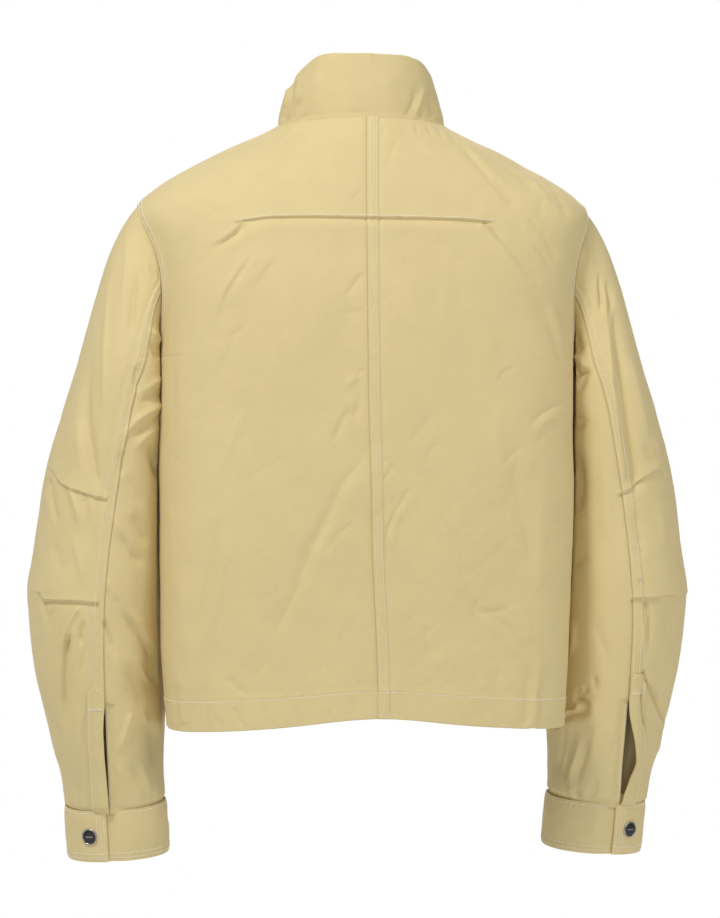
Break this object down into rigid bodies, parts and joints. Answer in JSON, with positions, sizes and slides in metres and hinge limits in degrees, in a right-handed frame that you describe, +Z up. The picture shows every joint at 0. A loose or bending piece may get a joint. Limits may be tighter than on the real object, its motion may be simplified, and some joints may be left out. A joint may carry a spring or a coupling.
{
  "type": "stand-collar zip jacket",
  "caption": "Short stand-collar jacket with a centre-front zip, two-panel sleeves with elbow darts, buttoned-over snap cuffs and a plain turned-up hem.",
  "frame": {"origin": "centre of the neck opening, level with the collar seam at the centre back, which is where the wearer's neck carries the jacket", "axes": "+Z up the body, +Y out of the back, -Y out of the zipped front, +X to the wearer's left"},
  "size_m": [0.6666, 0.2397, 0.8003],
  "materials": {
    "shell_fabric": "fine plain weave, soft sheen",
    "lining": "smooth twill",
    "zip_tape": "woven tape",
    "zip_teeth": "antique",
    "zip_metal": "dark polished",
    "snap_metal": "dark polished"
  },
  "bodies": {
    "torso": {"back_left_panel": "shell_fabric", "back_right_panel": "shell_fabric", "front_left_panel": "shell_fabric", "front_right_panel": "shell_fabric", "hem_facing": "shell_fabric", "front_facing_left": "shell_fabric", "front_facing_right": "shell_fabric", "collar_outer": "shell_fabric", "collar_inner": "shell_fabric", "hanger_loop": "shell_fabric", "lining_back": "lining", "lining_front_left": "lining", "lining_front_right": "lining", "zip_teeth_left": "zip_teeth", "zip_teeth_right": "zip_teeth", "zip_tape_left": "zip_tape", "zip_tape_right": "zip_tape", "zip_end_box": "zip_metal", "zip_top_stop_left": "zip_metal", "zip_top_stop_right": "zip_metal", "pocket_welt_left": "shell_fabric", "pocket_welt_right": "shell_fabric", "pocket_bag_left": "lining", "pocket_bag_right": "lining", "left_sleeve_head": "shell_fabric", "right_sleeve_head": "shell_fabric"},
    "left_upper_sleeve": {"left_top_sleeve_upper": "shell_fabric", "left_under_sleeve_upper": "shell_fabric", "left_sleeve_elbow": "shell_fabric", "left_sleeve_lining_upper": "lining"},
    "left_lower_sleeve": {"left_top_sleeve_lower": "shell_fabric", "left_under_sleeve_lower": "shell_fabric", "left_placket_underlay": "shell_fabric", "left_sleeve_lining_lower": "lining", "left_cuff_band": "shell_fabric", "left_snap_stud": "snap_metal"},
    "left_cuff_tab_body": {"left_cuff_tab": "shell_fabric", "left_snap_cap": "snap_metal", "left_snap_socket": "snap_metal"},
    "right_upper_sleeve": {"right_top_sleeve_upper": "shell_fabric", "right_under_sleeve_upper": "shell_fabric", "right_sleeve_elbow": "shell_fabric", "right_sleeve_lining_upper": "lining"},
    "right_lower_sleeve": {"right_top_sleeve_lower": "shell_fabric", "right_under_sleeve_lower": "shell_fabric", "right_placket_underlay": "shell_fabric", "right_sleeve_lining_lower": "lining", "right_cuff_band": "shell_fabric", "right_snap_stud": "snap_metal"},
    "right_cuff_tab_body": {"right_cuff_tab": "shell_fabric", "right_snap_cap": "snap_metal", "right_snap_socket": "snap_metal"},
    "zip_slider": {"zip_slider_body": "zip_metal"},
    "zip_pull": {"zip_pull_tab": "zip_metal"}
  },
  "joints": [
    {"name": "left_shoulder", "type": "hinge", "parent": "torso", "child": "left_upper_sleeve", "pos_m": [0.212, 0, -0.175], "axis": [0, -1, 0], "range_deg": [0, 45], "deforming": ["left_sleeve_head"]},
    {"name": "right_shoulder", "type": "hinge", "parent": "torso", "child": "right_upper_sleeve", "pos_m": [-0.212, 0, -0.175], "axis": [0, 1, 0], "range_deg": [0, 45], "deforming": ["right_sleeve_head"]},
    {"name": "left_elbow", "type": "hinge", "parent": "left_upper_sleeve", "child": "left_lower_sleeve", "pos_m": [0.261, -0.007, -0.44], "axis": [-1, 0, 0], "range_deg": [0, 80], "deforming": ["left_sleeve_elbow"]},
    {"name": "right_elbow", "type": "hinge", "parent": "right_upper_sleeve", "child": "right_lower_sleeve", "pos_m": [-0.261, -0.007, -0.44], "axis": [-1, 0, 0], "range_deg": [0, 80], "deforming": ["right_sleeve_elbow"]},
    {"name": "left_cuff_opening", "type": "hinge", "parent": "left_lower_sleeve", "child": "left_cuff_tab_body", "pos_m": [0.29269, -0.01231, -0.68415], "axis": [-0.0704, -0.1194, -0.9903], "range_deg": [0, 100]},
    {"name": "right_cuff_opening", "type": "hinge", "parent": "right_lower_sleeve", "child": "right_cuff_tab_body", "pos_m": [-0.29269, -0.01231, -0.68415], "axis": [-0.0704, 0.1194, 0.9903], "range_deg": [0, 100]},
    {"name": "zip_slide", "type": "slide", "parent": "torso", "child": "zip_slider", "axis": [0, -0.038, -0.9993], "range_m": [0, 0.552]},
    {"name": "zip_pull_swing", "type": "hinge", "parent": "zip_slider", "child": "zip_pull", "pos_m": [0, -0.10085, -0.025], "axis": [-1, 0, 0], "range_deg": [0, 150]}
  ]
}
